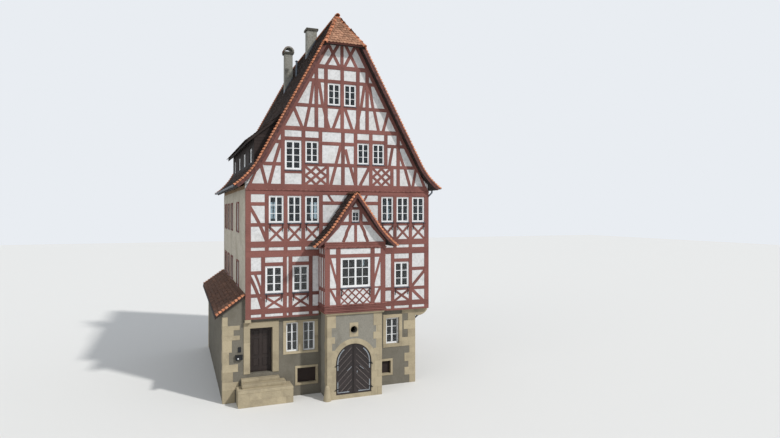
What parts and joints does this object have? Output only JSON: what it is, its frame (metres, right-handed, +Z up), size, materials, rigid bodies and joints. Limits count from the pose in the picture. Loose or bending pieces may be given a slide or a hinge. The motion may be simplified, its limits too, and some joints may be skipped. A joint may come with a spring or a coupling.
{
  "type": "half-timbered town house",
  "caption": "Tall gabled half-timbered town house with masonry ground storey, gated porch, timber bay window, flared tile roof with half hip, shed dormer and entry steps",
  "frame": {"origin": "middle of the timber storeys' plan, on the ground before the gate", "axes": "+X to the right seen from the street, +Y into the house, +Z up; the street gable faces -Y"},
  "size_m": [11.4703, 14.53, 19.82],
  "materials": {
    "red_timber": "oxide red paint on oak",
    "plaster": "lime plaster",
    "sandstone": "dressed sandstone",
    "stone_render": "weathered lime render on stone",
    "clay_tile": "fired clay tiles",
    "floor_boards": "plain boards on joists",
    "dark_boards": "dark stained boards",
    "dark_iron": "dark painted iron",
    "white_paint": "white paint",
    "window_glass": "clear glass",
    "gate_wood": "grey brown stained boards",
    "door_wood": "dark brown stained boards"
  },
  "bodies": {
    "house": {"aisle_girder": "floor_boards", "attic_floors": "floor_boards", "base_slab": "stone_render", "bay_floor": "floor_boards", "bay_front_frame": "red_timber", "bay_front_infill": "plaster", "bay_roof": "clay_tile", "bay_side_frames": "red_timber", "bay_side_infill": "plaster", "cellar_hatches": "floor_boards", "chimneys": "stone_render", "door_plinth": "stone_render", "dormer_roof": "clay_tile", "dormer_walls": "dark_boards", "entry_steps": "sandstone", "entry_surround": "sandstone", "front_frame_1": "red_timber", "front_frame_2": "red_timber", "front_gable_frame": "red_timber", "front_gable_infill": "plaster", "front_infill_1": "plaster", "front_infill_2": "plaster", "front_lintels": "stone_render", "front_mouldings": "red_timber", "front_wall_left": "stone_render", "front_wall_middle": "stone_render", "front_wall_right": "stone_render", "gate_arch": "sandstone", "gate_jambs": "sandstone", "gate_threshold": "sandstone", "ground_floor": "floor_boards", "ground_side_walls": "stone_render", "gutters": "dark_iron", "hinge_pins": "dark_iron", "lean_to_roof": "clay_tile", "left_wall": "plaster", "porch_arch_wall": "stone_render", "porch_cornice": "sandstone", "porch_piers": "sandstone", "porch_side_walls": "stone_render", "rear_frame": "red_timber", "rear_ground_wall": "stone_render", "rear_infill": "plaster", "ridge_caps": "clay_tile", "right_frame": "red_timber", "right_infill": "plaster", "roof_hip": "clay_tile", "roof_left": "clay_tile", "roof_right": "clay_tile", "stone_consoles": "sandstone", "storey_floors": "floor_boards", "vent_pipe": "dark_iron", "verge_boards": "dark_boards", "window_casings": "white_paint", "window_panes": "window_glass", "window_sills": "dark_iron", "window_surrounds": "sandstone"},
    "entry_door": {"entry_door": "door_wood"},
    "gate_leaf_left": {"gate_leaf_left": "gate_wood"},
    "gate_leaf_right": {"gate_leaf_right": "gate_wood"}
  },
  "joints": [
    {"name": "entry_door_hinge", "type": "hinge", "parent": "house", "child": "entry_door", "pos_m": [-4.54, -5.745, 2.3], "axis": [0, 0, 1], "range_deg": [0, 90]},
    {"name": "gate_left_hinge", "type": "hinge", "parent": "house", "child": "gate_leaf_left", "pos_m": [-0.637, -7.43, 1.2], "axis": [0, 0, -1], "range_deg": [0, 90]},
    {"name": "gate_right_hinge", "type": "hinge", "parent": "house", "child": "gate_leaf_right", "pos_m": [1.137, -7.43, 1.2], "axis": [0, 0, 1], "range_deg": [0, 90]}
  ]
}
